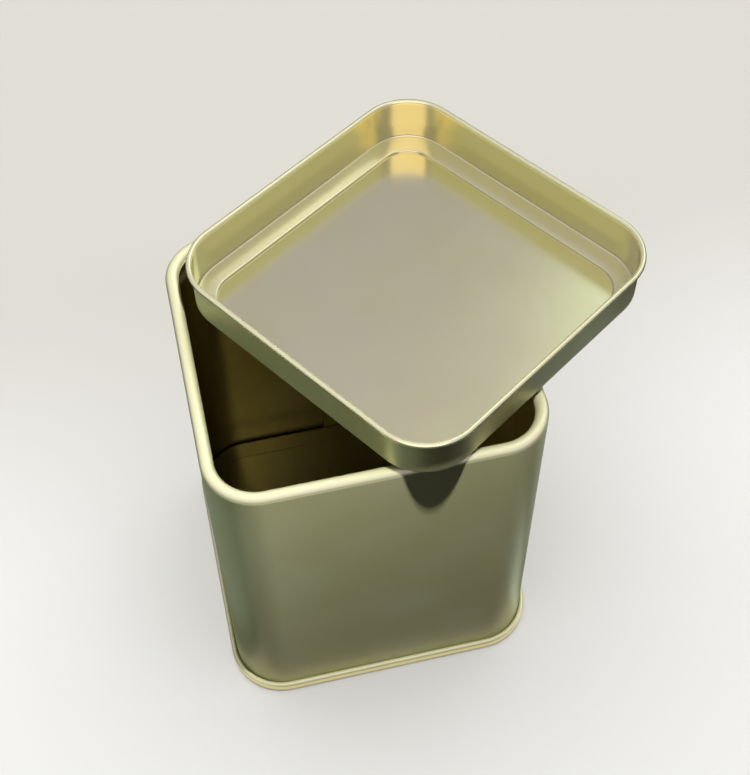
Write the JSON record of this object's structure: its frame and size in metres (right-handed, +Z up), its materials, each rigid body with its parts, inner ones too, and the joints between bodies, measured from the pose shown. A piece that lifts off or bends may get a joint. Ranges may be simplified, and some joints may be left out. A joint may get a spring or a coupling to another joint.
{
  "type": "square slip-lid tin",
  "caption": "Square tinplate spice tin with rounded corners, a curled rim and a seamed base, open, with its slip lid lying upside down across the rim.",
  "frame": {"origin": "centre of the flat ring under the double seam, on the surface that the tin stands on", "axes": "+Z up out of the open mouth, -Y out of the front wall, +X to the right, and the lock seam is on the +Y wall"},
  "size_m": [0.0915, 0.086, 0.0895],
  "materials": {
    "body_lacquer": "satin gold lacquer on tinplate",
    "end_lacquer": "satin gold lacquer on tinplate",
    "compound": "matt cured compound",
    "lid_lacquer": "satin gold lacquer on tinplate"
  },
  "bodies": {
    "tin": {"body_wall": "body_lacquer", "bottom_end": "end_lacquer", "seam_compound": "compound"},
    "loose_lid": {"lid": "lid_lacquer"}
  },
  "joints": [
    {"name": "lid_lift", "type": "slide", "parent": "tin", "child": "loose_lid", "axis": [0, 0, 1], "range_m": [0, 0.12]}
  ]
}
